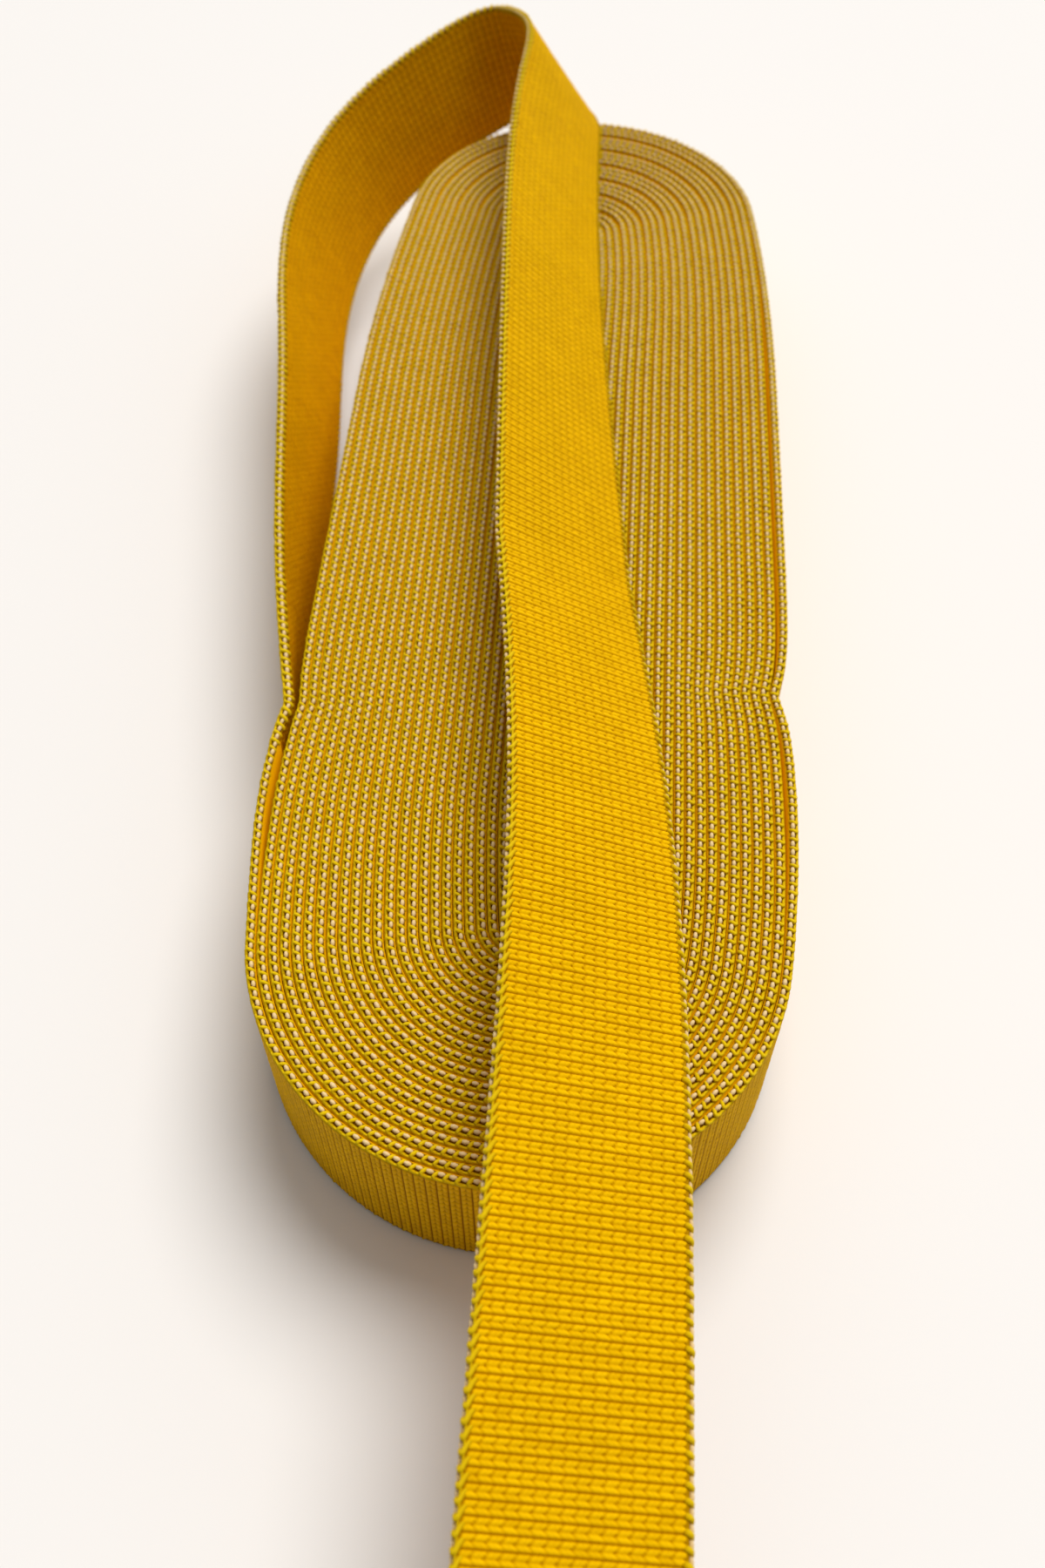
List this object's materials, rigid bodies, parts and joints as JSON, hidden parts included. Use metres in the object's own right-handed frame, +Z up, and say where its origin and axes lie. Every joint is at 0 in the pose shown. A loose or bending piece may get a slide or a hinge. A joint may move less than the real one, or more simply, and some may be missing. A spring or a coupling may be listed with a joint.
{
  "type": "martial arts belt",
  "caption": "Yellow ribbed martial arts belting wound edge-up into a long flat coil, its outer lap peeled off and bent over the top as a free tail.",
  "frame": {"origin": "on the rest plane under the middle of the coil", "axes": "+Z up along the belt's width in the coil, +Y along the coil towards the end where the belting bends over, +X to the right"},
  "size_m": [0.1531, 0.4978, 0.0756],
  "materials": {
    "yellow_face": "ribbed weave, matte",
    "yellow_face_inside": "ribbed weave, matte",
    "cream_core": "soft cream filling yarn",
    "selvedge": "looped edge cord, matte"
  },
  "bodies": {
    "coil": {"coil_outer_face": "yellow_face", "coil_core": "cream_core", "coil_inner_face": "yellow_face_inside", "coil_upper_selvedge": "selvedge", "coil_lower_selvedge": "selvedge"},
    "loop_side": {"loop_side_outer_face": "yellow_face", "loop_side_core": "cream_core", "loop_side_inner_face": "yellow_face_inside", "loop_side_upper_selvedge": "selvedge", "loop_side_lower_selvedge": "selvedge"},
    "loop_back": {"loop_back_outer_face": "yellow_face", "loop_back_core": "cream_core", "loop_back_inner_face": "yellow_face_inside", "loop_back_upper_selvedge": "selvedge", "loop_back_lower_selvedge": "selvedge"},
    "loop_crest": {"loop_crest_outer_face": "yellow_face", "loop_crest_core": "cream_core", "loop_crest_inner_face": "yellow_face_inside", "loop_crest_upper_selvedge": "selvedge", "loop_crest_lower_selvedge": "selvedge"},
    "tail_back": {"tail_back_outer_face": "yellow_face", "tail_back_core": "cream_core", "tail_back_inner_face": "yellow_face_inside", "tail_back_upper_selvedge": "selvedge", "tail_back_lower_selvedge": "selvedge"},
    "tail_middle": {"tail_middle_outer_face": "yellow_face", "tail_middle_core": "cream_core", "tail_middle_inner_face": "yellow_face_inside", "tail_middle_upper_selvedge": "selvedge", "tail_middle_lower_selvedge": "selvedge"},
    "tail_end": {"tail_end_outer_face": "yellow_face", "tail_end_core": "cream_core", "tail_end_inner_face": "yellow_face_inside", "tail_end_upper_selvedge": "selvedge", "tail_end_lower_selvedge": "selvedge"}
  },
  "joints": [
    {"name": "peel_at_waist", "type": "hinge", "parent": "coil", "child": "loop_side", "pos_m": [-0.0615, -0.073, 0.02], "axis": [0.0075, -0.0415, 0.9991], "range_deg": [0, 25]},
    {"name": "loop_side_flex", "type": "hinge", "parent": "loop_side", "child": "loop_back", "pos_m": [-0.0775, 0.055, 0.028], "axis": [0, 0, 1], "range_deg": [0, 12]},
    {"name": "loop_back_flex", "type": "hinge", "parent": "loop_back", "child": "loop_crest", "pos_m": [-0.05638, 0.1837, 0.04456], "axis": [-0.36, 0.0664, 0.9306], "range_deg": [0, 15]},
    {"name": "loop_bend", "type": "hinge", "parent": "loop_crest", "child": "tail_back", "pos_m": [-0.01742, 0.20117, 0.05545], "axis": [-0.4142, -0.1015, 0.9045], "range_deg": [0, 30]},
    {"name": "tail_crease", "type": "hinge", "parent": "tail_back", "child": "tail_middle", "pos_m": [0.0035, -0.0345, 0.0535], "axis": [-0.8367, -0.1065, 0.5372], "range_deg": [0, 45]},
    {"name": "tail_front_flex", "type": "hinge", "parent": "tail_middle", "child": "tail_end", "pos_m": [0.01638, -0.20199, 0.05608], "axis": [-0.972, -0.0199, 0.234], "range_deg": [-30, 45]}
  ]
}
